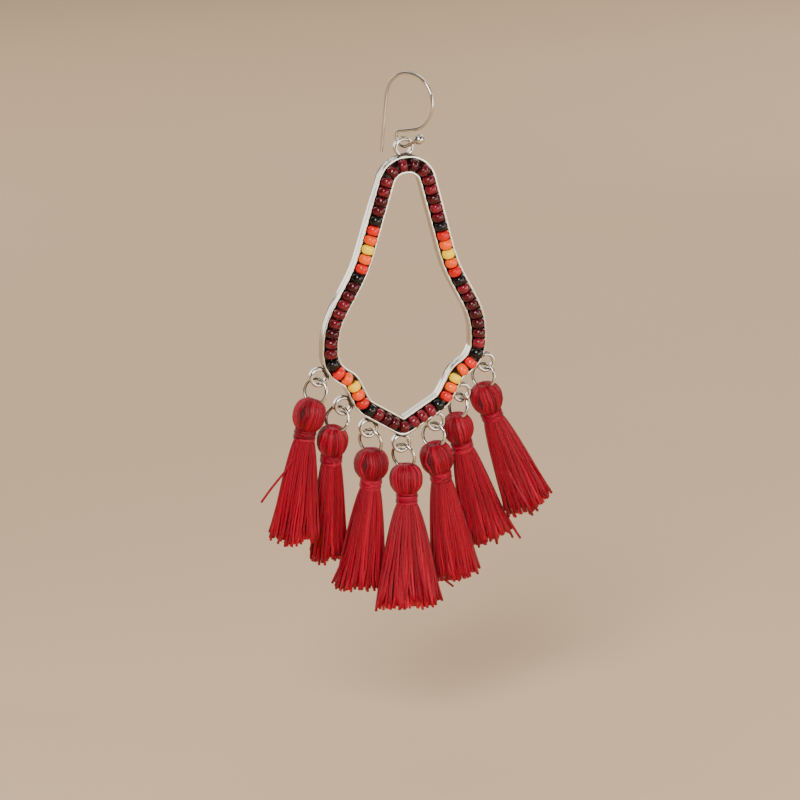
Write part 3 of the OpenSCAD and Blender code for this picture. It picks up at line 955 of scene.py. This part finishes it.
def make_camera():
    """The photograph's line of sight, through a long lens."""
    azimuth, elevation = math.radians(AZIMUTH), math.radians(ELEVATION)
    away = Vector((math.sin(azimuth) * math.cos(elevation), -math.cos(azimuth) * math.cos(elevation),
                   math.sin(elevation)))
    lens = bpy.data.cameras.new("camera")
    lens.lens = LENS
    lens.sensor_width = SENSOR
    lens.clip_start = 0.01
    lens.clip_end = 50
    camera = bpy.data.objects.new("camera", lens)
    stand(camera, Vector(TARGET) * MM + away * DISTANCE, -away)
    bpy.context.scene.camera = camera


def make_light(name, place, size, power, colour):
    """A soft lamp that looks at the piece."""
    lamp = bpy.data.lights.new(name, "AREA")
    lamp.shape = "RECTANGLE"
    lamp.size, lamp.size_y = size
    lamp.energy = power
    lamp.color = colour
    stand(bpy.data.objects.new(name, lamp), place, Vector(LIT_PLACE) - Vector(place))


def make_stage():
    """A pale floor, a dim room and soft lamps round the piece."""
    bm = bmesh.new()
    bmesh.ops.create_grid(bm, x_segments=1, y_segments=1, size=FLOOR_HALF,
                          matrix=Matrix.Translation((0, 0, FLOOR_AT)))
    mesh = smooth_mesh(bm, bpy.data.meshes.new("floor"))
    f = Finish("pale_floor", Roughness=0.85)
    f.feed(Base_Color=f.ramp(f.noise(300.0, detail=2.0), *FLOOR_TONES))
    mesh.materials.append(f.material)
    floor = bpy.data.objects.new("floor", mesh)
    bpy.context.scene.collection.objects.link(floor)
    world = bpy.data.worlds.new("room")
    world.use_nodes = True
    room = world.node_tree.nodes["Background"]
    room.inputs["Color"].default_value = ROOM_COLOUR
    room.inputs["Strength"].default_value = ROOM_STRENGTH
    bpy.context.scene.world = world
    for light in LIGHTS:
        make_light(*light)


def dress(name, material):
    """Gives a CAD node that stays as it is its finish."""
    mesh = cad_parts[name].data
    mesh.materials.clear()
    mesh.materials.append(material)
    return mesh


# Columns: colour, its dark, middle and light tones, roughness, unevenness
GLASS = (("garnet", (0.028, 0.001, 0.003), (0.085, 0.002, 0.007), (0.24, 0.012, 0.026), 0.16, 0.6),
         ("black", (0.002, 0.002, 0.002), (0.004, 0.004, 0.004), (0.007, 0.006, 0.006), 0.1, 0.1),
         ("red", (0.52, 0.002, 0.001), (0.68, 0.004, 0.002), (0.78, 0.01, 0.006), 0.2, 0.1),
         ("orange", (0.86, 0.060, 0.0), (0.96, 0.095, 0.0), (1.0, 0.14, 0.0), 0.2, 0.1),
         ("yellow", (1.0, 0.58, 0.0), (1.0, 0.68, 0.0), (1.0, 0.76, 0.004), 0.2, 0.1))
# The head is the same thread as the skirt: its darker tones are painted shade
# Columns: part of the tassel, its dark, middle and light tones, twists, roughness, share of a strand's shade
SILKS = (("head", (0.04, 0.000, 0.002), (0.23, 0.001, 0.010), (0.50, 0.002, 0.030), 9, 0.40, 0.5),
         ("skirt", (0.07, 0.000, 0.003), (0.56, 0.002, 0.028), (1.0, 0.006, 0.070), 16, 0.36, OWN_SHADE),
         ("band", (0.12, 0.000, 0.006), (0.28, 0.001, 0.015), (0.50, 0.004, 0.036), 20, 0.30, OWN_SHADE))

make_camera()
make_stage()

wire = silver_wire()
for polygon in dress("ear_hook", wire).polygons:
    polygon.use_smooth = True
for number in range(1, TASSELS + 1):
    make_ring(number, wire)
dress("bead_thread", plain_thread("waxed_thread", (0.02, 0.012, 0.012), (0.06, 0.035, 0.035), 0.2, (0.3, 0.7),
                                  roughness=0.55, depth_mm=0.04, strength=0.5))
make_frame(silver_cast())
for colour, *tones in GLASS:
    make_beads(colour, glass(f"{colour}_glass", *tones))

looks = {part: silk(f"thread_{part}", *tones) for part, *tones in SILKS}
# The core's finish: dark, as painted shade deep inside the tassel
looks["core"] = plain_thread("painted_shade_core", (0.035, 0.001, 0.003), (0.12, 0.002, 0.008), 0.4, (0.35, 0.7),
                             roughness=0.9, depth_mm=0.1, strength=0.6)
for number in range(1, TASSELS + 1):
    make_tassel(number, looks)
